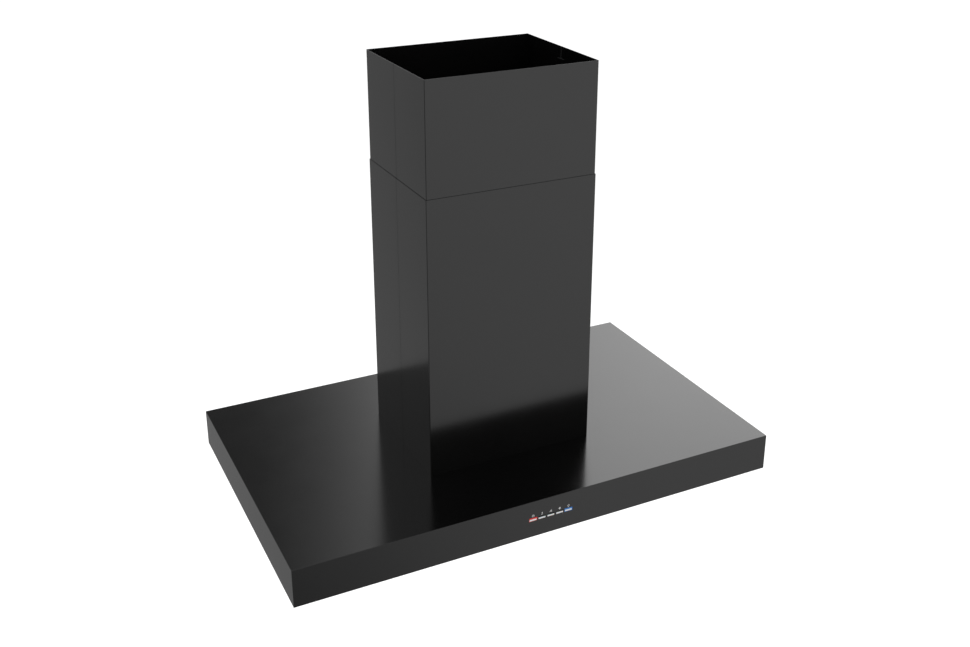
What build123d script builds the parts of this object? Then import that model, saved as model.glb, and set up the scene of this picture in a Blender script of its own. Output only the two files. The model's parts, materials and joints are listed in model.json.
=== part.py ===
from build123d import *
from math import acos, cos, degrees, radians, sin
import os

# Island chimney range hood, all sizes in millimetres.
# Frame: origin at the centre of the canopy's lower rim, +X right, +Y back, +Z up.

# Canopy, a shallow folded box open below
canopy_width = 1000.0
canopy_depth = 600.0
canopy_height = 76.0
canopy_sheet = 1.0
edge_radius = 0.6            # outside of a fold
rim_flange = 18.0            # return flange round the underside
rim_height = 21.0            # top of the upturned hem that carries the panel
panel_sheet = 1.0
panel_gap = 0.5              # panel edge to canopy wall

# Clearances between pieces
seat_gap = 0.3               # a moving piece and the seat it lies on
slide_gap = 0.35             # upper sleeve inside the lower one, each side
shaft_gap = 0.05             # radial, shaft in its bearing
pin_gap = 0.1                # radial, flap knuckle on its rod

# Chimney, two sleeves of two folded halves each
chimney_width = 346.0
chimney_depth = 276.0
sleeve_sheet = 0.8
sleeve_fold = 1.6            # outside of the sleeves' upright folds
sleeve_seam = 0.9            # gap between the front and rear halves
lower_sleeve_length = 558.0
upper_sleeve_length = 500.0
upper_sleeve_reach = 215.0   # shown above the lower sleeve
seam_strip_width = 24.0
seam_strip_height = 30.0     # strip inside the lower sleeve, under the upper one
seam_strip_start = 26.0      # above the canopy
base_sheet = 1.2
base_height = 22.0
base_foot = 5.5

# Telescopic frame of angle posts that carries the hood from the ceiling
post_room_x = 8.0            # outer sleeve face to outer post face
post_room_y = 8.0
post_sheet = 1.5
post_gap = 0.3               # lower post inside the upper one
lower_post_leg = 32.0
upper_post_leg = 18.0
lower_post_length = 524.0
upper_post_length = 560.0
upper_post_start = 64.0      # above the canopy, as hung
brace_width = 20.0
plate_thickness = 2.0
plate_opening_x = 284.0
plate_opening_y = 180.0
anchor_spacing_x = 270.0
anchor_spacing_y = 210.0
anchor_hole_radius = 4.5
slide_up = 384.0             # most that the ceiling plate rises over the hood
slide_down = 60.0
bolt_radius = 3.0
bolt_head_radius = 5.5
bolt_head_height = 3.5
nut_height = 4.5
bolt_inset = 9.5             # bolt axis from the outer corner of a post
bolt_drop = 34.0             # bolt axis below the top of a lower post
screw_radius = 2.0
screw_head_radius = 4.0      # across the corners of the hexagon
screw_head_height = 2.2
screw_length = 8.0

# Blower box on the canopy, inside the posts
box_height = 290.0
box_sheet = 0.8
box_foot = 12.0              # foot flange turned inward
box_screw_x = 90.0           # screws in the foot flange, from the middle
box_screw_y = 60.0
frame_screw_inset = 25.0     # screw from the post corner, past the upper post's leg
frame_screw_heights = (40.0, 240.0)

# Double-inlet blower, shaft along Y
wheel_radius = 80.0
wheel_inner_radius = 66.0
wheel_width = 118.0
wheel_disc = 1.5
wheel_ring = 2.0
blade_count = 30
blade_sheet = 0.9
blade_lead = 13.0            # degrees that a blade runs ahead from root to tip
blade_bow = 0.22             # share of the lead reached at mid height
hub_radius = 12.0
hub_length = 22.0
blade_set = 0.6              # a blade's edges lie this far inside its rings
wheel_x = -45.0
wheel_above_canopy = 139.0
volute_wall = 1.6
volute_gap = 7.0             # wheel to the scroll at its cutoff
volute_growth = 10.0         # the scroll's radius grows this much each quarter turn
volute_side_gap = 4.0        # wheel to the side wall
cutoff_angle = 50.0
cutoff_radius = 5.0
inlet_radius = 62.0
inlet_flare = 7.0            # depth and reach of the cone round each inlet
shaft_radius = 4.0
shaft_overhang = 2.0         # past the hub and past the motor's cap
motor_radius = 45.0
motor_length = 66.0
motor_start = 6.0            # wheel disc to motor face
motor_edge = 3.0             # bevel of the can's rims
motor_cap_radius = 20.0
motor_cap_length = 7.0
bracket_thickness = 3.0
bracket_ring = 6.0
bracket_arm_width = 14.0
bracket_arm_reach = 80.0
bracket_arms = 3

# Outlet collar with its two non-return flaps
collar_radius = 75.0
collar_wall = 1.2
collar_height = 60.0
collar_flange = 12.0
collar_screw_count = 4
rod_radius = 1.5
rod_height = 22.0            # flap rod above the blower box
flap_gap = 2.6               # flap rim to collar bore
flap_sheet = 0.8
knuckle_radius = 3.0
knuckle_length = 16.0
knuckle_pitch = 36.0
knuckle_lap = 1.0            # leaf of a knuckle onto its flap
stop_size = 6.0
stop_height = 2.4

# Electrical pieces on the blower box
terminal_box = (86.0, 62.0, 30.0)
terminal_box_x = -104.0
terminal_box_y = 52.0
terminal_wall = 2.0
terminal_edge = 4.0
capacitor_radius = 17.5
capacitor_length = 62.0
capacitor_edge = 1.5
capacitor_tab = (0.8, 6.0, 8.0)
capacitor_tab_x = 5.0        # tab from the can's axis
capacitor_x = -104.0
capacitor_y = -52.0

# Baffle grease filters
filter_width = 330.0
filter_depth = 300.0
filter_height = 14.0
filter_gap = 2.0             # filter to its cut-out
filter_divider = 14.0        # panel strip between two cut-outs
filter_bar = 10.0
filter_front_bar = 26.0
filter_lip = 1.2
groove_depth = 6.0
baffle_count = 7             # lower row, the upper row has one less
baffle_width = 31.0
baffle_leg = 7.5
baffle_sheet = 0.8
tab_width = 24.0
tab_reach = 8.0              # tab past the edge of the cut-out
tab_seat = 9.0
tab_inset = 60.0
tab_sheet = 1.0
latch_width = 22.0
latch_reach = 5.0            # latch tongue past the edge of the cut-out
latch_travel = 7.5
latch_stem = 6.0
latch_play = 0.5
latch_sheet = 1.2
latch_pad = (34.0, 16.0, 2.5)
latch_inset = 4.0            # slot from the filter's front edge

# Lamps
lamp_inset_x = 82.0          # lamp axis from the canopy's end
lamp_inset_y = 110.0         # and from its front and back
lamp_radius = 28.0
lamp_flange = 5.0
lamp_flange_height = 1.5
lamp_depth = 22.0
lamp_wall = 1.5
lens_radius = 24.0
lens_thickness = 2.0

# Push-buttons in the front wall
button_names = ("off", "speed_low", "speed_mid", "speed_high", "light")
button_pitch = 18.8
button_width = 14.4
button_height = 3.2
button_z = 36.7
button_gap = 0.3
button_length = 8.0
button_flange = 1.2
button_flange_sheet = 1.0
button_travel = 1.0
surround_side = 0.8          # surround's wall beside the button
surround_above = 2.6
surround_below = 0.5
control_width = 120.0
control_bottom = 24.0
control_height = 34.0
control_length = 24.0
control_wall = 2.0
board_thickness = 1.6
switch_size = 6.0

# Places that follow from the sizes above
panel_top = rim_height + panel_sheet
lower_top = canopy_height + lower_sleeve_length
upper_top = lower_top + upper_sleeve_reach
upper_start = upper_top - upper_sleeve_length
lower_inner_x = chimney_width / 2 - sleeve_sheet
lower_inner_y = chimney_depth / 2 - sleeve_sheet
upper_outer_x = lower_inner_x - slide_gap
upper_outer_y = lower_inner_y - slide_gap
upper_post_x = chimney_width / 2 - post_room_x
upper_post_y = chimney_depth / 2 - post_room_y
lower_post_x = upper_post_x - post_sheet - post_gap
lower_post_y = upper_post_y - post_sheet - post_gap
box_x = lower_post_x - post_sheet
box_y = lower_post_y - post_sheet
box_top = canopy_height + box_height
intake_x = box_x - box_foot
intake_y = box_y - box_foot
lower_post_top = canopy_height + lower_post_length
upper_post_bottom = canopy_height + upper_post_start
plate_bottom = upper_post_bottom + upper_post_length
plate_top = plate_bottom + plate_thickness
bolt_z = lower_post_top - bolt_drop
wheel_z = canopy_height + wheel_above_canopy
volute_half = wheel_width / 2 + volute_side_gap
volute_start_radius = wheel_radius + volute_gap
cutoff_x = volute_start_radius * cos(radians(cutoff_angle))
volute_right = volute_growth + volute_start_radius + 3 * volute_growth
duct_x = wheel_x + (cutoff_x + volute_right) / 2
collar_bore = collar_radius - collar_wall
rod_z = box_top + rod_height
filter_top = panel_top + seat_gap
filter_bottom = filter_top - filter_height
cutout_x = filter_width + 2 * filter_gap
cutout_y = filter_depth + 2 * filter_gap
lamp_x = canopy_width / 2 - lamp_inset_x
lamp_y = canopy_depth / 2 - lamp_inset_y
front = -canopy_depth / 2


def block(x0, x1, y0, y1, z0, z1):
    """A box given by its faces."""
    centre = Pos((x0 + x1) / 2, (y0 + y1) / 2, (z0 + z1) / 2)
    return centre * Box(abs(x1 - x0), abs(y1 - y0), abs(z1 - z0))


def middle_block(half_x, half_y, z0, z1, x=0.0, y=0.0):
    """A box centred on a vertical axis."""
    return block(x - half_x, x + half_x, y - half_y, y + half_y, z0, z1)


def disc(radius, z0, z1, x=0.0, y=0.0):
    """A cylinder along Z given by its end faces."""
    return Pos(x, y, (z0 + z1) / 2) * Cylinder(radius, abs(z1 - z0))


def disc_x(radius, x0, x1, y, z):
    """A cylinder along X."""
    return Pos((x0 + x1) / 2, y, z) * Rot(0, 90, 0) * Cylinder(radius, abs(x1 - x0))


def disc_y(radius, y0, y1, x, z):
    """A cylinder along Y."""
    return Pos(x, (y0 + y1) / 2, z) * Rot(90, 0, 0) * Cylinder(radius, abs(y1 - y0))


def hexagon_x(radius, x0, x1, y, z):
    """A hexagonal prism along X."""
    outline = Plane.YZ * RegularPolygon(radius, 6)
    return Pos(x0, y, z) * extrude(outline, x1 - x0)


def hexagon_z(radius, z0, z1, x, y):
    """A hexagonal prism along Z."""
    return Pos(x, y, z0) * extrude(RegularPolygon(radius, 6), z1 - z0)


def save(name, *pieces):
    """Write one node: a single solid, or a group of separate ones."""
    solids = [solid for piece in pieces for solid in piece.solids()]
    export_step(solids[0] if len(solids) == 1 else Compound(solids), f"parts/{name}.step")


# ---------------------------------------------------------------- canopy
def button_places():
    """Button name and centre, left to right."""
    middle = (len(button_names) - 1) / 2
    return [(name, (i - middle) * button_pitch) for i, name in enumerate(button_names)]


def has_coloured_surround(name):
    return name in (button_names[0], button_names[-1])


def wall_hole(x, side, above, below):
    """Block through the front wall round a button, wider than its gap by the given margins."""
    half_x = button_width / 2 + button_gap + side
    half_z = button_height / 2 + button_gap
    return block(
        x - half_x, x + half_x, front, front + canopy_sheet,
        button_z - half_z - below, button_z + half_z + above,
    )


def surround_block(x):
    return wall_hole(x, surround_side, surround_above, surround_below)


def canopy_shell():
    half_x, half_y = canopy_width / 2, canopy_depth / 2
    skin = middle_block(half_x, half_y, 0, canopy_height)
    skin = fillet(skin.edges(), edge_radius)
    hollow = middle_block(
        half_x - canopy_sheet, half_y - canopy_sheet, canopy_sheet, canopy_height - canopy_sheet
    )
    hem_x, hem_y = half_x - rim_flange, half_y - rim_flange
    hem = middle_block(hem_x + canopy_sheet, hem_y + canopy_sheet, 0, rim_height)
    mouth = middle_block(hem_x, hem_y, 0, rim_height)
    shell = skin - hollow + (hem - mouth) - mouth
    shell -= middle_block(intake_x, intake_y, canopy_height - canopy_sheet, canopy_height)
    for x, y in box_screw_places():
        shell -= disc(screw_radius, canopy_height - canopy_sheet, canopy_height, x, y)
    for _, x in button_places():
        shell -= surround_block(x)
    return shell


def filter_places():
    offset = (cutout_x + filter_divider) / 2
    return [("left", -offset), ("right", offset)]


def lamp_places():
    return [
        (f"{depth}_{side}", x * lamp_x, y * lamp_y)
        for depth, y in (("front", -1), ("rear", 1))
        for side, x in (("left", -1), ("right", 1))
    ]


def underside_panel():
    half_x = canopy_width / 2 - canopy_sheet - panel_gap
    half_y = canopy_depth / 2 - canopy_sheet - panel_gap
    panel = middle_block(half_x, half_y, rim_height, panel_top)
    for _, x in filter_places():
        panel -= middle_block(cutout_x / 2, cutout_y / 2, rim_height, panel_top, x)
    for _, x, y in lamp_places():
        panel -= disc(lamp_radius, rim_height, panel_top, x, y)
    return panel


# ---------------------------------------------------------------- chimney
def rounded_block(half_x, half_y, z0, z1, radius):
    """A centred box with rounded upright edges."""
    whole = middle_block(half_x, half_y, z0, z1)
    return fillet(whole.edges().filter_by(Axis.Z), radius)


def sleeve_half(half_x, half_y, z0, z1, side):
    """One folded half of a sleeve: side -1 is the front half, 1 the rear one."""
    outside = rounded_block(half_x, half_y, z0, z1, sleeve_fold)
    inside = rounded_block(
        half_x - sleeve_sheet, half_y - sleeve_sheet, z0, z1, sleeve_fold - sleeve_sheet
    )
    keep = block(-half_x, half_x, side * sleeve_seam / 2, side * half_y, z0, z1)
    return (outside - inside) & keep


def seam_strip(half_x, z0, z1, side):
    """Joggled strip on the rear half that laps behind the front half's edge."""
    face = half_x - sleeve_sheet
    return block(
        side * face, side * (face - sleeve_sheet), -seam_strip_width / 2, seam_strip_width / 2, z0, z1
    )


def lower_sleeve_rear():
    half_x, half_y = chimney_width / 2, chimney_depth / 2
    half = sleeve_half(half_x, half_y, canopy_height, lower_top, 1)
    z0 = canopy_height + seam_strip_start
    for side in (-1, 1):
        half += seam_strip(half_x, z0, z0 + seam_strip_height, side)
    return half


def upper_sleeve_rear():
    half = sleeve_half(upper_outer_x, upper_outer_y, upper_start, upper_top, 1)
    for side in (-1, 1):
        half += seam_strip(upper_outer_x, upper_start, upper_top - seam_strip_width, side)
    return half


def chimney_base():
    """Angle ring on the canopy that the lower sleeve fits over."""
    top = canopy_height + base_height
    ring = rounded_block(
        lower_inner_x, lower_inner_y, canopy_height, top, sleeve_fold - sleeve_sheet
    )
    ring -= middle_block(
        lower_inner_x - base_sheet, lower_inner_y - base_sheet, canopy_height + base_sheet, top
    )
    ring -= middle_block(
        lower_inner_x - base_foot, lower_inner_y - base_foot, canopy_height, canopy_height + base_sheet
    )
    return ring


# ---------------------------------------------------------------- frame
def corners():
    return [
        (f"{depth}_{side}", x, y)
        for depth, y in (("front", -1), ("rear", 1))
        for side, x in (("left", -1), ("right", 1))
    ]


def angle_post(side_x, side_y, outer_x, outer_y, leg, z0, z1):
    """Angle section with its heel at an outer corner."""
    x, y = side_x * outer_x, side_y * outer_y
    leg_x = block(x, x - side_x * post_sheet, y, y - side_y * leg, z0, z1)
    leg_y = block(x, x - side_x * leg, y, y - side_y * post_sheet, z0, z1)
    return leg_x + leg_y


def lower_post(side_x, side_y):
    post = angle_post(
        side_x, side_y, lower_post_x, lower_post_y, lower_post_leg, canopy_height, lower_post_top
    )
    inner = side_x * (lower_post_x - post_sheet)
    outer = side_x * lower_post_x
    post -= disc_x(bolt_radius, inner, outer, side_y * (upper_post_y - bolt_inset), bolt_z)
    for height in frame_screw_heights:
        y = side_y * (lower_post_y - frame_screw_inset)
        post -= disc_x(screw_radius, inner, outer, y, canopy_height + height)
    return post


def upper_post(side_x, side_y):
    post = angle_post(
        side_x, side_y, upper_post_x, upper_post_y, upper_post_leg, upper_post_bottom, plate_bottom
    )
    x, y = side_x * upper_post_x, side_y * upper_post_y
    tab = block(
        x, x - side_x * upper_post_leg, y, y - side_y * upper_post_leg,
        plate_bottom - post_sheet, plate_bottom,
    )
    tab -= disc(bolt_radius, plate_bottom - post_sheet, plate_bottom, *plate_bolt_place(side_x, side_y))
    # long slot that the height bolt runs in
    half_width = bolt_radius + seat_gap
    slot_y = side_y * (upper_post_y - bolt_inset)
    inner = x - side_x * post_sheet
    slot = block(
        inner, x, slot_y - half_width, slot_y + half_width, bolt_z - slide_up, bolt_z + slide_down
    )
    slot += disc_x(half_width, inner, x, slot_y, bolt_z - slide_up)
    slot += disc_x(half_width, inner, x, slot_y, bolt_z + slide_down)
    return post + tab - slot


def plate_bolt_place(side_x, side_y):
    return side_x * (upper_post_x - bolt_inset), side_y * (upper_post_y - bolt_inset)


def ceiling_plate():
    plate = middle_block(upper_post_x, upper_post_y, plate_bottom, plate_top)
    plate -= middle_block(plate_opening_x / 2, plate_opening_y / 2, plate_bottom, plate_top)
    for _, side_x, side_y in corners():
        x, y = side_x * anchor_spacing_x / 2, side_y * anchor_spacing_y / 2
        plate -= disc(anchor_hole_radius, plate_bottom, plate_top, x, y)
        plate -= disc(bolt_radius, plate_bottom, plate_top, *plate_bolt_place(side_x, side_y))
    return plate


def plate_bolt(side_x, side_y):
    """Bolt from below through an upper post's tab, flush with the ceiling plate's top."""
    x, y = plate_bolt_place(side_x, side_y)
    under = plate_bottom - post_sheet
    bolt = disc(bolt_radius, under, plate_top, x, y)
    return bolt + hexagon_z(bolt_head_radius, under - bolt_head_height, under, x, y)


def height_bolt(side_x, side_y):
    """Bolt and nut that clamp a lower post in the upper one's slot."""
    y = side_y * (upper_post_y - bolt_inset)
    head = side_x * (upper_post_x + seat_gap)
    nut_face = side_x * (lower_post_x - post_sheet)
    nut_end = nut_face - side_x * nut_height
    bolt = disc_x(bolt_radius, nut_end, head, y, bolt_z)
    bolt += hexagon_x(bolt_head_radius, head, head + side_x * bolt_head_height, y, bolt_z)
    nut = hexagon_x(bolt_head_radius, nut_end, nut_face, y, bolt_z)
    return [bolt, nut - disc_x(bolt_radius, nut_end, nut_face, y, bolt_z)]


def frame_screw(side_x, side_y, height):
    """Hexagon-head screw through a lower post into the blower box."""
    y, z = side_y * (lower_post_y - frame_screw_inset), canopy_height + height
    face = side_x * lower_post_x
    screw = disc_x(screw_radius, face - side_x * screw_length, face, y, z)
    return screw + hexagon_x(screw_head_radius, face, face + side_x * screw_head_height, y, z)


def frame_brace(side_y):
    y = side_y * (lower_post_y - post_sheet)
    half_x = lower_post_x - post_sheet
    return block(-half_x, half_x, y, y - side_y * post_sheet, lower_post_top - brace_width, lower_post_top)


# ---------------------------------------------------------------- blower
def box_screw_places():
    along_x = [(x * box_screw_x, y * (box_y - box_foot / 2)) for x in (-1, 1) for y in (-1, 1)]
    along_y = [(x * (box_x - box_foot / 2), y * box_screw_y) for x in (-1, 1) for y in (-1, 1)]
    return along_x + along_y


def box_screw(x, y):
    """Hexagon-head screw from inside the canopy up into the blower box's foot."""
    under = canopy_height - canopy_sheet
    screw = disc(screw_radius, under, under + screw_length, x, y)
    return screw + hexagon_z(screw_head_radius, under - screw_head_height, under, x, y)


def collar_screw_places():
    radius = collar_radius + collar_flange / 2
    angles = [radians((i + 0.5) * 360 / collar_screw_count) for i in range(collar_screw_count)]
    return [(duct_x + radius * cos(a), radius * sin(a)) for a in angles]


def collar_screw(x, y):
    """Screw from inside the blower box, flush with the top of the collar's flange."""
    under = box_top - box_sheet
    screw = disc(screw_radius, under, box_top + collar_wall, x, y)
    return screw + hexagon_z(screw_head_radius, under - screw_head_height, under, x, y)


def blower_box():
    body = middle_block(box_x, box_y, canopy_height, box_top)
    body -= middle_block(
        box_x - box_sheet, box_y - box_sheet, canopy_height + box_sheet, box_top - box_sheet
    )
    body -= middle_block(intake_x, intake_y, canopy_height, canopy_height + box_sheet)
    body -= disc(collar_bore, box_top - box_sheet, box_top, duct_x)
    for _, side_x, side_y in corners():
        y = side_y * (lower_post_y - frame_screw_inset)
        for height in frame_screw_heights:
            x0, x1 = side_x * (box_x - box_sheet), side_x * box_x
            body -= disc_x(screw_radius, x0, x1, y, canopy_height + height)
    for x, y in box_screw_places():
        body -= disc(screw_radius, canopy_height, canopy_height + box_sheet, x, y)
    for x, y in collar_screw_places():
        body -= disc(screw_radius, box_top - box_sheet, box_top, x, y)
    return body


def scroll_outline(grow, top):
    """Scroll of four quarter arcs about a small square, straight up to its outlet.

    Seen from the front about the wheel's axis; grow moves the wall outward.
    """
    a = volute_growth
    radii = [volute_start_radius + i * a + grow for i in range(4)]
    left = cutoff_x - grow
    start = degrees(acos(left / radii[0]))
    right = volute_right + grow
    arcs = [
        CenterArc((0, 0), radii[0], start, 90 - start),
        CenterArc((0, -a), radii[1], 90, 90),
        CenterArc((a, -a), radii[2], 180, 90),
        CenterArc((a, 0), radii[3], 270, 90),
    ]
    walls = [
        Line((right, 0), (right, top)),
        Line((right, top), (left, top)),
        Line((left, top), (left, radii[0] * sin(radians(start)))),
    ]
    outline = make_face(arcs + walls)
    nose = outline.vertices().sort_by_distance((left, radii[0] * sin(radians(start)), 0))[0]
    return fillet(nose, cutoff_radius - grow)


def volute_half_shell(side):
    """Moulded half of the scroll housing with its flared inlet: side -1 is the front half."""
    top = box_top - box_sheet - wheel_z
    depth = volute_half + volute_wall
    outside = extrude(Plane.XZ * scroll_outline(volute_wall, top), -side * depth)
    air = extrude(Plane.XZ * scroll_outline(0, top), -side * volute_half)
    shell = outside - air
    mouth_radius = inlet_radius + inlet_flare
    shell -= disc_y(mouth_radius, -depth, depth, 0, 0)
    face, throat = side * depth, side * (depth - inlet_flare)
    flare = make_face(Polyline(
        (mouth_radius, face),
        (inlet_radius, throat),
        (inlet_radius + volute_wall, throat),
        (mouth_radius, face - side * volute_wall),
        close=True,
    ))
    shell += revolve(flare, Axis.Y)
    return Pos(wheel_x, 0, wheel_z) * shell


def blade_outline(turn):
    """One forward-curved blade, seen along the shaft."""
    half = degrees(blade_sheet / wheel_radius)

    def point(radius, angle):
        return radius * cos(radians(angle)), radius * sin(radians(angle))

    inner, outer = wheel_inner_radius + blade_set, wheel_radius - blade_set

    def side(angle):
        root = point(inner, angle)
        bow = point((inner + outer) / 2, angle + blade_bow * blade_lead)
        tip = point(outer, angle + blade_lead)
        return root, bow, tip

    root_a, bow_a, tip_a = side(turn)
    root_b, bow_b, tip_b = side(turn + half)
    return make_face([
        ThreePointArc(root_a, bow_a, tip_a),
        Line(tip_a, tip_b),
        ThreePointArc(tip_b, bow_b, root_b),
        Line(root_b, root_a),
    ])


def impeller():
    """Squirrel cage of two blade rows on one disc."""
    half = wheel_width / 2
    blade_length = wheel_width - 2 * blade_set
    blades = [
        Pos(0, blade_length / 2, 0)
        * extrude(Plane.XZ * blade_outline(i * 360 / blade_count), blade_length)
        for i in range(blade_count)
    ]
    wheel = disc_y(wheel_radius, -wheel_disc / 2, wheel_disc / 2, 0, 0)
    wheel += disc_y(hub_radius, -hub_length, wheel_disc, 0, 0)
    for y0, y1 in ((-half, -half + wheel_ring), (half - wheel_ring, half)):
        wheel += disc_y(wheel_radius, y0, y1, 0, 0) - disc_y(wheel_inner_radius, y0, y1, 0, 0)
    wheel = wheel + blades
    wheel -= disc_y(shaft_radius, -hub_length, wheel_disc, 0, 0)
    return Pos(wheel_x, 0, wheel_z) * wheel


def motor_shaft():
    end = motor_start + motor_length + motor_cap_length + shaft_overhang
    return disc_y(shaft_radius, -hub_length - shaft_overhang, end, wheel_x, wheel_z)


def motor():
    """Motor can with a raised bearing cap at its outer end."""
    y0, y1 = motor_start, motor_start + motor_length
    can = disc_y(motor_radius, y0, y1, 0, 0)
    can = chamfer(can.edges().filter_by(GeomType.CIRCLE), motor_edge)
    can += disc_y(motor_cap_radius, y1, y1 + motor_cap_length, 0, 0)
    can -= disc_y(shaft_radius + shaft_gap, y0, y1 + motor_cap_length, 0, 0)
    return Pos(wheel_x, 0, wheel_z) * can


def motor_bracket():
    """Ring and arms that hold the motor in the rear inlet."""
    y0 = volute_half + volute_wall
    y1 = y0 + bracket_thickness
    ring = disc_y(motor_radius + bracket_ring, y0, y1, 0, 0)
    for i in range(bracket_arms):
        arm = block(-bracket_arm_width / 2, bracket_arm_width / 2, y0, y1, 0, bracket_arm_reach)
        ring += Rot(0, i * 360 / bracket_arms, 0) * arm
    ring -= disc_y(motor_radius, y0, y1, 0, 0)
    return Pos(wheel_x, 0, wheel_z) * ring


def outlet_collar():
    top = box_top + collar_height
    collar = disc(collar_radius, box_top, top) + disc(
        collar_radius + collar_flange, box_top, box_top + collar_wall
    )
    collar -= disc(collar_bore, box_top, top)
    collar -= disc_y(rod_radius, -collar_radius, collar_radius, 0, rod_z)
    # small stops under the rim of each flap
    stop_top = rod_z - flap_sheet / 2 - seat_gap
    for side in (-1, 1):
        stop = block(
            side * (collar_bore - stop_size), side * (collar_bore + collar_wall / 2),
            -stop_size / 2, stop_size / 2, stop_top - stop_height, stop_top,
        )
        collar += stop
    collar = Pos(duct_x, 0, 0) * collar
    for x, y in collar_screw_places():
        collar -= disc(screw_radius, box_top, box_top + collar_wall, x, y)
    return collar


def damper_rod():
    half = collar_radius - seat_gap
    return disc_y(rod_radius, -half, half, duct_x, rod_z)


def damper_flap(side):
    """Half-disc flap with two knuckles on the rod: side -1 is the left flap."""
    radius = collar_bore - flap_gap
    z0, z1 = rod_z - flap_sheet / 2, rod_z + flap_sheet / 2
    plate = disc(radius, z0, z1)
    edge = knuckle_radius + seat_gap
    plate &= block(side * edge, side * radius, -radius, radius, z0, z1)
    bore = rod_radius + pin_gap
    # the knuckles of the two flaps take turns along the rod
    for place in (-1.5, 0.5):
        middle = -side * place * knuckle_pitch
        y0, y1 = middle - knuckle_length / 2, middle + knuckle_length / 2
        plate += disc_y(knuckle_radius, y0, y1, 0, rod_z)
        plate += block(0, side * (edge + knuckle_lap), y0, y1, z0, z1)
        plate -= disc_y(bore, y0, y1, 0, rod_z)
    return Pos(duct_x, 0, 0) * plate


def terminal_cover():
    """Closed terminal box, hollow inside."""
    half_x, half_y = terminal_box[0] / 2, terminal_box[1] / 2
    top = box_top + terminal_box[2]
    cover = middle_block(half_x, half_y, box_top, top)
    cover = fillet(cover.edges().filter_by(Axis.Z), terminal_edge)
    cover -= middle_block(half_x - terminal_wall, half_y - terminal_wall, box_top, top - terminal_wall)
    return Pos(terminal_box_x, terminal_box_y, 0) * cover


def capacitor():
    z0, z1 = box_top, box_top + capacitor_length
    can = disc(capacitor_radius, z0, z1, capacitor_x, capacitor_y)
    can = chamfer(can.edges().group_by(Axis.Z)[-1], capacitor_edge)
    half_x, half_y = capacitor_tab[0] / 2, capacitor_tab[1] / 2
    for side in (-1, 1):
        x = capacitor_x + side * capacitor_tab_x
        can += middle_block(half_x, half_y, z1, z1 + capacitor_tab[2], x, capacitor_y)
    return can


# ---------------------------------------------------------------- filters
def filter_frame():
    """Channel-section frame with hook tabs behind and a slot for the latch in front."""
    half_x, half_y = filter_width / 2, filter_depth / 2
    frame = middle_block(half_x, half_y, filter_bottom, filter_top)
    window = block(
        -half_x + filter_bar, half_x - filter_bar, -half_y + filter_front_bar, half_y - filter_bar,
        filter_bottom, filter_top,
    )
    groove = block(
        -half_x + filter_bar - groove_depth, half_x - filter_bar + groove_depth,
        -half_y + filter_front_bar - groove_depth, half_y - filter_bar + groove_depth,
        filter_bottom + filter_lip, filter_top - filter_lip,
    )
    frame -= window
    frame -= groove
    slot_start = -half_y + latch_inset
    slot_end = slot_start + latch_stem + latch_travel + 2 * latch_play
    frame -= block(
        -latch_width / 2 - latch_play, latch_width / 2 + latch_play, slot_start, slot_end,
        filter_bottom, filter_top,
    )
    for side in (-1, 1):
        x = side * (half_x - tab_inset)
        frame += block(
            x - tab_width / 2, x + tab_width / 2, half_y - tab_seat, cutout_y / 2 + tab_reach,
            filter_top, filter_top + tab_sheet,
        )
    return frame


def baffle(x, web_z, leg_dir):
    """Folded channel with its web at web_z and its legs turned up (1) or down (-1)."""
    y0 = -filter_depth / 2 + filter_front_bar - groove_depth
    y1 = filter_depth / 2 - filter_bar + groove_depth
    half = baffle_width / 2
    channel = block(x - half, x + half, y0, y1, web_z, web_z + leg_dir * baffle_leg)
    return channel - block(
        x - half + baffle_sheet, x + half - baffle_sheet, y0, y1,
        web_z + leg_dir * baffle_sheet, web_z + leg_dir * baffle_leg,
    )


def filter_baffles():
    """Lower channels with a second row over the gaps between them."""
    groove_width = filter_width - 2 * (filter_bar - groove_depth)
    pitch = (groove_width - baffle_width) / (baffle_count - 1)
    first = (baffle_width - groove_width) / 2
    lower = [baffle(first + i * pitch, filter_bottom + filter_lip, 1) for i in range(baffle_count)]
    upper = [
        baffle(first + (i + 0.5) * pitch, filter_top - filter_lip, -1)
        for i in range(baffle_count - 1)
    ]
    return lower + upper


def filter_latch():
    """Sliding tongue over the panel, with a finger pad under the frame."""
    stem_start = -filter_depth / 2 + latch_inset + latch_play
    half = latch_width / 2
    tongue_z = filter_top + seat_gap
    pad_top = filter_bottom - seat_gap
    latch = block(-half, half, stem_start, stem_start + latch_stem, pad_top, tongue_z)
    latch += block(
        -half, half, -cutout_y / 2 - latch_reach, stem_start + latch_stem,
        tongue_z, tongue_z + latch_sheet,
    )
    pad_x, pad_y, pad_z = latch_pad
    pad = block(
        -pad_x / 2, pad_x / 2, stem_start - latch_play, stem_start - latch_play + pad_y,
        pad_top - pad_z, pad_top,
    )
    return latch + fillet(pad.edges().filter_by(Axis.Z), pad_z)


# ---------------------------------------------------------------- lamps
def lamp_housing(x, y):
    """Flanged can pushed up through the panel, with a rebate for its lens."""
    flange_bottom = rim_height - lamp_flange_height
    top = panel_top + lamp_depth
    can = disc(lamp_radius, rim_height, top, x, y)
    can += disc(lamp_radius + lamp_flange, flange_bottom, rim_height, x, y)
    can -= disc(lens_radius, flange_bottom, flange_bottom + lens_thickness, x, y)
    inside = lens_radius - lamp_wall
    can -= disc(inside, flange_bottom + lens_thickness, top - lamp_wall, x, y)
    return can


def lamp_lens(x, y):
    flange_bottom = rim_height - lamp_flange_height
    return disc(lens_radius, flange_bottom, flange_bottom + lens_thickness, x, y)


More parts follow.
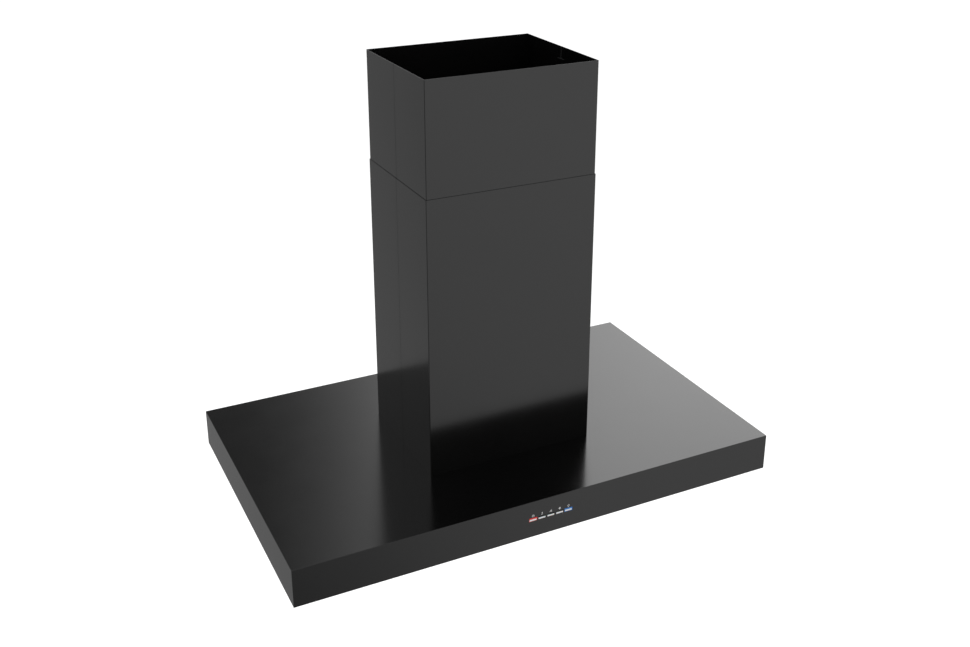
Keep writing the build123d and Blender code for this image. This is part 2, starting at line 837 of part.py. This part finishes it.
# ---------------------------------------------------------------- controls
def button(x):
    """Bar cap, flush with the canopy, on a flanged stem behind the wall."""
    half_x, half_z = button_width / 2, button_height / 2
    cap = block(x - half_x, x + half_x, front, front + button_length, button_z - half_z, button_z + half_z)
    flange_y = front + canopy_sheet + seat_gap
    edge_x, edge_z = half_x + button_flange, half_z + button_flange
    return cap + block(
        x - edge_x, x + edge_x, flange_y, flange_y + button_flange_sheet,
        button_z - edge_z, button_z + edge_z,
    )


def surround(x):
    """Moulded frame, flush in the front wall, that the button slides in."""
    return surround_block(x) - wall_hole(x, 0, 0, 0)


def control_housing():
    """Moulded tray behind the front wall, open towards the buttons."""
    y0, y1 = front + canopy_sheet, front + canopy_sheet + control_length
    half = control_width / 2
    z0, z1 = control_bottom, control_bottom + control_height
    tray = block(-half, half, y0, y1, z0, z1)
    return tray - block(
        -half + control_wall, half - control_wall, y0, y1 - control_wall,
        z0 + control_wall, z1 - control_wall,
    )


def control_board():
    """Board with one push switch behind each button."""
    face = front + button_length + button_travel + seat_gap + switch_size / 2
    half = control_width / 2 - control_wall
    board = block(
        -half, half, face, face + board_thickness,
        control_bottom + control_wall, control_bottom + control_height - control_wall,
    )
    for _, x in button_places():
        board += block(
            x - switch_size / 2, x + switch_size / 2, face - switch_size / 2, face,
            button_z - switch_size / 2, button_z + switch_size / 2,
        )
    return board


os.makedirs("parts", exist_ok=True)

save("canopy_shell", canopy_shell())
save("underside_panel", underside_panel())
save("chimney_base", chimney_base())
save(
    "lower_sleeve_front",
    sleeve_half(chimney_width / 2, chimney_depth / 2, canopy_height, lower_top, -1),
)
save("lower_sleeve_rear", lower_sleeve_rear())
save("upper_sleeve_front", sleeve_half(upper_outer_x, upper_outer_y, upper_start, upper_top, -1))
save("upper_sleeve_rear", upper_sleeve_rear())

for name, side_x, side_y in corners():
    save(f"lower_post_{name}", lower_post(side_x, side_y))
    save(f"upper_post_{name}", upper_post(side_x, side_y))
save("frame_braces", frame_brace(-1), frame_brace(1))
save("ceiling_plate", ceiling_plate())
save("plate_bolts", *[plate_bolt(x, y) for _, x, y in corners()])
save("height_bolts", *[piece for _, x, y in corners() for piece in height_bolt(x, y)])
save(
    "frame_screws",
    *[frame_screw(x, y, height) for _, x, y in corners() for height in frame_screw_heights],
)

save("blower_box", blower_box())
save("box_screws", *[box_screw(x, y) for x, y in box_screw_places()])
save("volute_front", volute_half_shell(-1))
save("volute_rear", volute_half_shell(1))
save("impeller", impeller())
save("motor_shaft", motor_shaft())
save("motor", motor())
save("motor_bracket", motor_bracket())
save("outlet_collar", outlet_collar())
save("collar_screws", *[collar_screw(x, y) for x, y in collar_screw_places()])
save("damper_rod", damper_rod())
save("damper_flap_left", damper_flap(-1))
save("damper_flap_right", damper_flap(1))
save("terminal_box", terminal_cover())
save("capacitor", capacitor())

for name, x in filter_places():
    place = Pos(x, 0, 0)
    save(f"filter_frame_{name}", place * filter_frame())
    save(f"filter_baffles_{name}", *[place * channel for channel in filter_baffles()])
    save(f"filter_latch_{name}", place * filter_latch())

for name, x, y in lamp_places():
    save(f"lamp_housing_{name}", lamp_housing(x, y))
    save(f"lamp_lens_{name}", lamp_lens(x, y))

for name, x in button_places():
    save(f"button_{name}", button(x))
    if has_coloured_surround(name):
        save(f"button_surround_{name}", surround(x))
save(
    "button_surrounds_black",
    *[surround(x) for name, x in button_places() if not has_coloured_surround(name)],
)
save("control_housing", control_housing())
save("control_board", control_board())
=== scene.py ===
"""Looks of an island chimney hood: finishes, printed symbols, studio and camera, in metres."""
import json
import math

import bmesh
import bpy
from mathutils import Matrix, Vector


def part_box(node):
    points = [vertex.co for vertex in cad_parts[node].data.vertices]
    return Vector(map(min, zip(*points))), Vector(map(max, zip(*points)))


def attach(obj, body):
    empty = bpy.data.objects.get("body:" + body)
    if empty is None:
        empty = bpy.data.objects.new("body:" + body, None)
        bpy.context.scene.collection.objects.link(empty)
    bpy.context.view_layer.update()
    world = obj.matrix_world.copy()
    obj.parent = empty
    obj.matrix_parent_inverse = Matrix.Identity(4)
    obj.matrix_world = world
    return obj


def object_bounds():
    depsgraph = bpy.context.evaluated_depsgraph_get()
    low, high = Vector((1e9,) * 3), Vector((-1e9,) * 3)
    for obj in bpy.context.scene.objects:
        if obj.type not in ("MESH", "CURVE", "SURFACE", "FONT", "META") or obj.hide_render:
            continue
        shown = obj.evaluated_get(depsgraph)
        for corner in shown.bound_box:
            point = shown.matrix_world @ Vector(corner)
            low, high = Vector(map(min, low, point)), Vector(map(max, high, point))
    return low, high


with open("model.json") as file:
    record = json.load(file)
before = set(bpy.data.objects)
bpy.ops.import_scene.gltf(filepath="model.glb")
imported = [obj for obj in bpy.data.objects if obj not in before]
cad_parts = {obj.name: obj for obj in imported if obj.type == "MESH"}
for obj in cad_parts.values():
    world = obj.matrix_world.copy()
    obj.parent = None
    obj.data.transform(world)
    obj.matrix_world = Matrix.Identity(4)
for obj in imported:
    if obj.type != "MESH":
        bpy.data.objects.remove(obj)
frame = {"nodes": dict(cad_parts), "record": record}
cad_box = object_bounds()

MM = 0.001

# Camera of the photograph, fitted to the corners of the canopy and the chimney
CAMERA_AZIMUTH = math.radians(-26.10)
CAMERA_ELEVATION = math.radians(20.58)
CAMERA_DISTANCE = 2.459
CAMERA_RIGHT = 0.00883           # of the line of sight from the frame's origin
CAMERA_UP = 0.4785
CAMERA_SHIFT_Y = -0.10
CAMERA_REACH = 200               # past the floor's far end
FOCAL_PIXELS = 1173.94
IMAGE_WIDTH = 970
SENSOR = 36.0

# Printed symbols over the buttons
SYMBOL_RISE = 9.0 * MM           # symbol's centre over the button's centre
SYMBOL_SIZE = 5.2 * MM
SYMBOL_LINE = 0.7 * MM
PRINT_PROUD = 0.02 * MM
PRINT_DEEP = 0.1 * MM
RING_GAP = 70                    # degrees
RING_STEPS = 20
PETAL_STEPS = 20

# Studio
FLOOR_BELOW = 1.55               # the hood hangs this far over the floor
FLOOR_SIZE = 60.0
FLOOR_GREY = 0.82
FLOOR_GLOW = 0.45                # for the camera only, so that just the shadow is grey
DIFFUSE_LEVEL = 0.75             # what the surroundings give to matt surfaces
DARKEST_GLOSS = 0.05             # the least that they give to glossy ones
SOFTBOXES = [                    # name, place, size and watts
    ("key", (2.2, 2.6, 3.0), 1.8, 60),
    ("fill", (-1.2, -3.8, 0.6), 2.4, 60),
]
# Azimuth, elevation, inner and outer angle in degrees, and what the patch adds to white
STUDIO_PATCHES = [
    (-17, -25, 14, 34, -0.67),   # black flag behind on the left, low
    (-12, -38, 4, 15, -0.04),    # and a little more under it
    (3, 33, 10, 21.5, -0.89),    # black flag behind, high
    (152, 33, 12, 26, -0.85),    # black flag over the camera
    (178, -46, 8, 28, -0.78),    # black flag in front, low on the left
    (47, 35, 10, 29, 1.97),      # key light behind on the right
    (129, -41, 4, 23, -0.35),    # shade in front on the right, low
    (152, -3, 5, 31, 0.31),      # front light
    (26, 7, 5, 9, -0.80),        # narrow black flag behind, over the horizon
    (-115, -20, 24, 58, -0.70),  # black flag on the left
]


# ---------------------------------------------------------------- node helpers
def connect(tree, node, inputs):
    """Gives each named input of a node its value, or a link from another node's output."""
    for name, value in inputs.items():
        if isinstance(value, bpy.types.NodeSocket):
            tree.links.new(value, node.inputs[name])
        else:
            node.inputs[name].default_value = value


def add_node(tree, kind, inputs):
    node = tree.nodes.new(kind)
    connect(tree, node, inputs)
    return node


def maths(tree, operation, a, b=0.0):
    node = add_node(tree, "ShaderNodeMath", {0: a, 1: b})
    node.operation = operation
    return node.outputs["Value"]


def choose(tree, share, otherwise, value):
    """value where share is 1, otherwise where it is 0."""
    part = maths(tree, "MULTIPLY", share, value)
    rest = maths(tree, "SUBTRACT", 1.0, share)
    return maths(tree, "ADD", part, maths(tree, "MULTIPLY", rest, otherwise))


class Finish:
    """A node material: one Principled shader, with its colour, roughness and grain."""

    def __init__(self, name, metallic=0.0, ior=1.5):
        self.material = bpy.data.materials.new(name)
        self.material.use_nodes = True
        self.tree = self.material.node_tree
        self.place = add_node(self.tree, "ShaderNodeTexCoord", {}).outputs["Object"]
        self.set("Metallic", metallic)
        self.set("IOR", ior)

    def set(self, socket, value):
        connect(self.tree, self.tree.nodes["Principled BSDF"], {socket: value})

    def mapped(self, socket, value):
        """Object coordinates with a Mapping node's scale or rotation."""
        inputs = {"Vector": self.place, socket: value}
        return add_node(self.tree, "ShaderNodeMapping", inputs).outputs["Vector"]

    def noise(self, scale, detail=2.0, where=None, rough=0.5):
        inputs = {
            "Vector": where or self.place,
            "Scale": scale,
            "Detail": detail,
            "Roughness": rough,
        }
        return add_node(self.tree, "ShaderNodeTexNoise", inputs).outputs["Fac"]

    def cells(self, scale):
        """A random value for each crystal of a spangled sheet."""
        inputs = {"Vector": self.place, "Scale": scale}
        return add_node(self.tree, "ShaderNodeTexVoronoi", inputs).outputs["Color"]

    def colour(self, value, dark, light, start=0.3, end=0.7):
        """Base colour that runs from dark to light as value runs from start to end."""
        node = add_node(self.tree, "ShaderNodeValToRGB", {"Fac": value})
        first, last = node.color_ramp.elements
        first.position, last.position = start, end
        first.color, last.color = (*dark, 1.0), (*light, 1.0)
        self.set("Base Color", node.outputs["Color"])

    def roughness(self, value, low, high, start=0.3, end=0.7):
        """Roughness that runs from low to high as value runs from start to end."""
        inputs = {
            "Value": value,
            "From Min": start,
            "From Max": end,
            "To Min": low,
            "To Max": high,
        }
        node = add_node(self.tree, "ShaderNodeMapRange", inputs)
        self.set("Roughness", node.outputs["Result"])

    def grain(self, height, depth, strength=1.0):
        """A bump as deep as given where height runs from 0 to 1."""
        inputs = {"Height": height, "Distance": depth, "Strength": strength}
        self.set("Normal", add_node(self.tree, "ShaderNodeBump", inputs).outputs["Normal"])


def grey(level, warm=0.0):
    return (level * (1 + warm), level, level * (1 - warm))


# ---------------------------------------------------------------- finishes
def black_paint():
    """Satin black powder coat: deep, with the faint orange peel of a baked film."""
    finish = Finish("black_paint")
    patches = finish.noise(5.0, detail=3.0)
    finish.colour(patches, grey(0.0022), grey(0.0029), 0.35, 0.65)
    finish.roughness(finish.noise(14.0, detail=4.0), 0.162, 0.178)
    finish.grain(finish.noise(420.0), 0.004 * MM)
    return finish.material


def galvanised_steel():
    """Zinc-coated sheet, each crystal of its spangle with its own tone."""
    finish = Finish("galvanised_steel", metallic=1.0)
    spangle = finish.cells(110.0)
    finish.colour(spangle, grey(0.46), grey(0.57), 0.1, 0.9)
    finish.roughness(spangle, 0.34, 0.43, 0.1, 0.9)
    finish.grain(finish.noise(260.0), 0.02 * MM)
    return finish.material


def zinc_fasteners():
    """Plated screws and bolts, a little stained."""
    finish = Finish("zinc_fasteners", metallic=1.0)
    stain = finish.noise(350.0, detail=3.0)
    finish.colour(stain, (0.50, 0.49, 0.45), (0.66, 0.66, 0.64))
    finish.roughness(stain, 0.26, 0.42)
    finish.grain(finish.noise(1800.0), 0.01 * MM)
    return finish.material


def brushed(name, low, high, along, roughness, metallic=1.0):
    """Sheet brushed along one axis, the streaks long that way and fine across it."""
    finish = Finish(name, metallic=metallic)
    streak = finish.noise(1.0, detail=4.0, where=finish.mapped("Scale", along), rough=0.6)
    finish.colour(streak, grey(low), grey(high))
    finish.roughness(streak, roughness - 0.05, roughness + 0.07)
    finish.grain(streak, 0.006 * MM)
    return finish.material


def moulded(name, colour, roughness, ior=1.48):
    """Moulded plastic with the fine grain of an etched tool."""
    finish = Finish(name, ior=ior)
    darker = tuple(0.82 * part for part in colour)
    finish.colour(finish.noise(40.0, detail=3.0), darker, colour)
    finish.roughness(finish.noise(90.0), roughness - 0.05, roughness + 0.06)
    finish.grain(finish.noise(1400.0, detail=1.0), 0.02 * MM)
    return finish.material


def motor_case():
    """Dark enamel on the motor's case."""
    finish = Finish("motor_case")
    tone = finish.noise(60.0, detail=3.0)
    finish.colour(tone, grey(0.03), grey(0.045))
    finish.roughness(tone, 0.32, 0.42)
    finish.grain(finish.noise(500.0), 0.02 * MM)
    return finish.material


def lamp_lens():
    """Frosted cover with the faint prisms of a diffuser."""
    finish = Finish("lamp_lens", ior=1.49)
    tone = finish.noise(120.0)
    finish.colour(tone, grey(0.78, 0.01), grey(0.86, 0.01))
    finish.set("Transmission Weight", 0.45)
    finish.roughness(tone, 0.42, 0.55)
    finish.grain(finish.cells(700.0), 0.1 * MM)
    return finish.material


def translucent(name, colour, deep):
    """Moulded light guide: a little cloudy, darker and lighter at random."""
    finish = Finish(name)
    cloud = finish.noise(500.0, detail=3.0)
    finish.colour(cloud, deep, colour, 0.35, 0.65)
    finish.set("Subsurface Weight", 0.15)
    finish.set("Subsurface Scale", 0.8 * MM)
    finish.roughness(cloud, 0.28, 0.38)
    finish.grain(finish.noise(2500.0), 0.01 * MM)
    return finish.material


def circuit_board():
    """Green solder mask over the pale lines of its tracks."""
    finish = Finish("board")
    tracks = add_node(finish.tree, "ShaderNodeTexBrick", {
        "Vector": finish.mapped("Rotation", (math.pi / 2, 0, 0)),
        "Scale": 160.0,
        "Mortar Size": 0.06,
        "Color1": (0.010, 0.080, 0.030, 1),
        "Color2": (0.014, 0.095, 0.036, 1),
        "Mortar": (0.045, 0.190, 0.070, 1),
    })
    finish.set("Base Color", tracks.outputs["Color"])
    finish.roughness(finish.noise(200.0), 0.30, 0.42)
    finish.grain(tracks.outputs["Fac"], 0.04 * MM, strength=0.5)
    return finish.material


def symbol_print():
    """Thin grey ink, without a grain of its own."""
    finish = Finish("symbol_print")
    speckle = finish.noise(4000.0)
    finish.colour(speckle, grey(0.48), grey(0.60))
    finish.roughness(speckle, 0.45, 0.6)
    return finish.material


FINISHES = {
    "black_paint": black_paint(),
    "galvanised_steel": galvanised_steel(),
    "zinc_fasteners": zinc_fasteners(),
    "filter_frame": brushed("filter_frame", 0.62, 0.72, (4.0, 900.0, 900.0), 0.40, metallic=0.7),
    "filter_baffle": brushed("filter_baffle", 0.46, 0.58, (900.0, 4.0, 900.0), 0.36, metallic=0.7),
    "latch_plastic": moulded("latch_plastic", grey(0.02), 0.45),
    "moulded_black": moulded("moulded_black", grey(0.022), 0.5),
    "wheel_steel": brushed("wheel_steel", 0.42, 0.56, (300.0, 60.0, 300.0), 0.36),
    "motor_case": motor_case(),
    "shaft_steel": brushed("shaft_steel", 0.55, 0.66, (60.0, 2500.0, 60.0), 0.22),
    "capacitor_can": brushed("capacitor_can", 0.60, 0.70, (700.0, 700.0, 6.0), 0.3),
    "lamp_metal": brushed("lamp_metal", 0.58, 0.68, (500.0, 500.0, 40.0), 0.32),
    "lamp_lens": lamp_lens(),
    "button_white": translucent("button_white", grey(0.57), grey(0.51)),
    # Painted glow: the bright red and blue stand for the light of the lit indicators, over the
    # lenses' own tint
    "surround_red": translucent("surround_red", (0.56, 0.005, 0.007), (0.46, 0.003, 0.004)),
    "surround_blue": translucent("surround_blue", (0.003, 0.160, 0.50), (0.002, 0.115, 0.40)),
    "surround_black": moulded("surround_black", grey(0.003), 0.30, ior=1.3),
    "board": circuit_board(),
}
SYMBOL_FINISH = symbol_print()


def dress_frame():
    """Gives each CAD node the finish of its slot."""
    for part in frame["record"]["subparts"]:
        slots = frame["nodes"][part["node"]].data.materials
        slots.clear()
        slots.append(FINISHES[part["material_slot"]])


# ---------------------------------------------------------------- printed symbols
class Print:
    """Flat strokes on the canopy's front wall, gathered in one mesh."""

    def __init__(self, x, z):
        self.shape = bmesh.new()
        self.x, self.z = x, z
        self.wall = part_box("canopy_shell")[0][1]

    def outline(self, points):
        """A closed flat shape, points in metres from the symbol's centre."""
        y0, y1 = self.wall - PRINT_PROUD, self.wall + PRINT_DEEP
        front = [self.shape.verts.new((self.x + u, y0, self.z + v)) for u, v in points]
        rear = [self.shape.verts.new((self.x + u, y1, self.z + v)) for u, v in points]
        self.shape.faces.new(front)
        self.shape.faces.new(rear[::-1])
        for i, here in enumerate(front):
            after = (i + 1) % len(front)
            self.shape.faces.new((here, rear[i], rear[after], front[after]))

    def bar(self, start, end):
        """A straight stroke with square ends."""
        a, b = Vector(start), Vector(end)
        side = (b - a).orthogonal().normalized() * SYMBOL_LINE / 2
        self.outline([a + side, b + side, b - side, a - side])

    def open_ring(self, radius, gap_at, centre=(0, 0)):
        """A ring with a gap around one direction, in degrees from the right."""
        start, sweep = gap_at + RING_GAP / 2, 360 - RING_GAP
        angles = [math.radians(start + sweep * i / RING_STEPS) for i in range(RING_STEPS + 1)]
        outer, inner = radius + SYMBOL_LINE / 2, radius - SYMBOL_LINE / 2
        for a, b in zip(angles, angles[1:]):
            corners = [(outer, a), (outer, b), (inner, b), (inner, a)]
            self.outline([
                (centre[0] + r * math.cos(t), centre[1] + r * math.sin(t))
                for r, t in corners
            ])

    def finish(self, name):
        """Turns the strokes into a piece that rides on the hood."""
        bmesh.ops.recalc_face_normals(self.shape, faces=self.shape.faces)
        mesh = bpy.data.meshes.new(name)
        self.shape.to_mesh(mesh)
        self.shape.free()
        piece = bpy.data.objects.new(name, mesh)
        bpy.context.scene.collection.objects.link(piece)
        mesh.materials.append(SYMBOL_FINISH)
        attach(piece, "hood")


def power_symbol(mark):
    """A ring, open at the top, and a bar in the gap."""
    mark.open_ring(0.42 * SYMBOL_SIZE, gap_at=90)
    mark.bar((0, 0), (0, 0.52 * SYMBOL_SIZE))


def fan_symbol(mark, blades):
    """A small fan with one more blade for each speed, its blades bent ovals."""
    reach = 0.5 * SYMBOL_SIZE
    middle, half_length, half_width, bend = 0.57, 0.45, 0.30, 0.22      # of the reach
    for i in range(blades):
        turn = math.radians(90 + i * 360 / blades)
        petal = []
        for step in range(PETAL_STEPS):
            t = math.radians(step * 360 / PETAL_STEPS)
            along = middle + half_length * math.cos(t)
            across = half_width * math.sin(t) - bend * along * along
            petal.append((
                reach * (along * math.cos(turn) - across * math.sin(turn)),
                reach * (along * math.sin(turn) + across * math.cos(turn)),
            ))
        mark.outline(petal)


def lamp_symbol(mark):
    """A bulb: a ring, open at the bottom, over the two bars of its base."""
    mark.open_ring(0.34 * SYMBOL_SIZE, gap_at=-90, centre=(0, 0.12 * SYMBOL_SIZE))
    half = 0.16 * SYMBOL_SIZE
    for drop in (0.36 * SYMBOL_SIZE, 0.52 * SYMBOL_SIZE):
        mark.bar((-half, -drop), (half, -drop))


def print_symbols():
    """One symbol over each button."""
    drawings = {
        "off": power_symbol,
        "speed_low": lambda mark: fan_symbol(mark, 2),
        "speed_mid": lambda mark: fan_symbol(mark, 3),
        "speed_high": lambda mark: fan_symbol(mark, 4),
        "light": lamp_symbol,
    }
    for name, draw in drawings.items():
        low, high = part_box(f"button_{name}")
        mark = Print((low[0] + high[0]) / 2, (low[2] + high[2]) / 2 + SYMBOL_RISE)
        draw(mark)
        mark.finish(f"symbol_{name}")


# ---------------------------------------------------------------- studio
def direction(azimuth, elevation):
    """Azimuth from +Y towards +X, elevation above the horizon, in degrees."""
    a, e = math.radians(azimuth), math.radians(elevation)
    return (math.sin(a) * math.cos(e), math.cos(a) * math.cos(e), math.sin(e))


def patch(tree, look, towards, inner, outer):
    """1 within inner degrees of a direction, falling softly to 0 at outer."""
    dot = add_node(tree, "ShaderNodeVectorMath", {0: look, 1: towards})
    dot.operation = "DOT_PRODUCT"
    fall = add_node(tree, "ShaderNodeMapRange", {
        "Value": maths(tree, "ARCCOSINE", dot.outputs["Value"]),
        "From Min": math.radians(inner),
        "From Max": math.radians(outer),
        "To Min": 1.0,
        "To Max": 0.0,
    })
    fall.interpolation_type = "SMOOTHSTEP"
    return fall.outputs["Result"]


def surroundings():
    """White for the camera; for gloss a white studio with two lights and dark flags."""
    world = bpy.data.worlds.new("studio")
    bpy.context.scene.world = world
    world.use_nodes = True
    tree = world.node_tree
    look = add_node(tree, "ShaderNodeTexCoord", {}).outputs["Generated"]

    level = 1.0
    for azimuth, elevation, inner, outer, change in STUDIO_PATCHES:
        share = patch(tree, look, direction(azimuth, elevation), inner, outer)
        level = maths(tree, "ADD", level, maths(tree, "MULTIPLY", share, change))
    gloss_level = maths(tree, "MAXIMUM", level, DARKEST_GLOSS)

    path = add_node(tree, "ShaderNodeLightPath", {}).outputs
    glossy = maths(tree, "MAXIMUM", path["Is Glossy Ray"], path["Is Transmission Ray"])
    strength = choose(tree, glossy, DIFFUSE_LEVEL, gloss_level)
    strength = choose(tree, path["Is Camera Ray"], strength, 1.0)
    background = {"Color": (1, 1, 1, 1), "Strength": strength}
    connect(tree, tree.nodes["Background"], background)


def floor_finish():
    """Matt, lifted to white for the camera, and clear from below."""
    material = bpy.data.materials.new("floor")
    material.use_nodes = True
    tree = material.node_tree
    tree.nodes.clear()
    camera_ray = add_node(tree, "ShaderNodeLightPath", {}).outputs["Is Camera Ray"]
    seen_from_under = add_node(tree, "ShaderNodeNewGeometry", {}).outputs["Backfacing"]
    grey_floor = {"Color": (*grey(FLOOR_GREY), 1)}
    matt = add_node(tree, "ShaderNodeBsdfDiffuse", grey_floor)
    glow_level = {"Strength": maths(tree, "MULTIPLY", camera_ray, FLOOR_GLOW)}
    glow = add_node(tree, "ShaderNodeEmission", glow_level)
    both = add_node(tree, "ShaderNodeAddShader", {
        0: matt.outputs["BSDF"],
        1: glow.outputs["Emission"],
    })
    clear = add_node(tree, "ShaderNodeBsdfTransparent", {})
    sides = add_node(tree, "ShaderNodeMixShader", {
        "Fac": seen_from_under,
        1: both.outputs["Shader"],
        2: clear.outputs["BSDF"],
    })
    add_node(tree, "ShaderNodeOutputMaterial", {"Surface": sides.outputs["Shader"]})
    return material


def floor():
    mesh = bpy.data.meshes.new("floor")
    half = FLOOR_SIZE / 2
    corners = [(-half, -half, 0), (half, -half, 0), (half, half, 0), (-half, half, 0)]
    mesh.from_pydata(corners, [], [(0, 1, 2, 3)])
    mesh.materials.append(floor_finish())
    plane = bpy.data.objects.new("floor", mesh)
    plane.location.z = cad_box[0][2] - FLOOR_BELOW
    plane.visible_glossy = False
    plane.visible_transmission = False
    bpy.context.scene.collection.objects.link(plane)


def softbox(name, place, size, power):
    """A square area light that faces the hood's middle."""
    data = bpy.data.lights.new(name, "AREA")
    data.shape = "SQUARE"
    data.size = size
    data.energy = power
    lamp = bpy.data.objects.new(name, data)
    middle = (Vector(cad_box[0]) + Vector(cad_box[1])) / 2
    lamp.location = place
    lamp.rotation_euler = (middle - Vector(place)).to_track_quat("-Z", "Y").to_euler()
    lamp.visible_glossy = False
    bpy.context.scene.collection.objects.link(lamp)


def camera():
    azimuth, elevation = CAMERA_AZIMUTH, CAMERA_ELEVATION
    back = Vector((
        math.sin(azimuth) * math.cos(elevation),
        -math.cos(azimuth) * math.cos(elevation),
        math.sin(elevation),
    ))
    right = (-back).cross(Vector((0, 0, 1))).normalized()
    up = back.cross(right)
    data = bpy.data.cameras.new("camera")
    data.sensor_width = SENSOR
    data.lens = FOCAL_PIXELS * SENSOR / IMAGE_WIDTH
    data.shift_y = CAMERA_SHIFT_Y
    data.clip_end = CAMERA_REACH
    eye = bpy.data.objects.new("camera", data)
    turn = Matrix((right, up, back)).transposed().to_4x4()
    place = right * CAMERA_RIGHT + up * CAMERA_UP + back * CAMERA_DISTANCE
    eye.matrix_world = Matrix.Translation(place) @ turn
    bpy.context.scene.collection.objects.link(eye)
    bpy.context.scene.camera = eye


dress_frame()
print_symbols()
surroundings()
floor()
for name, place, size, power in SOFTBOXES:
    softbox(name, place, size, power)
camera()
bpy.context.scene.view_settings.view_transform = "Standard"
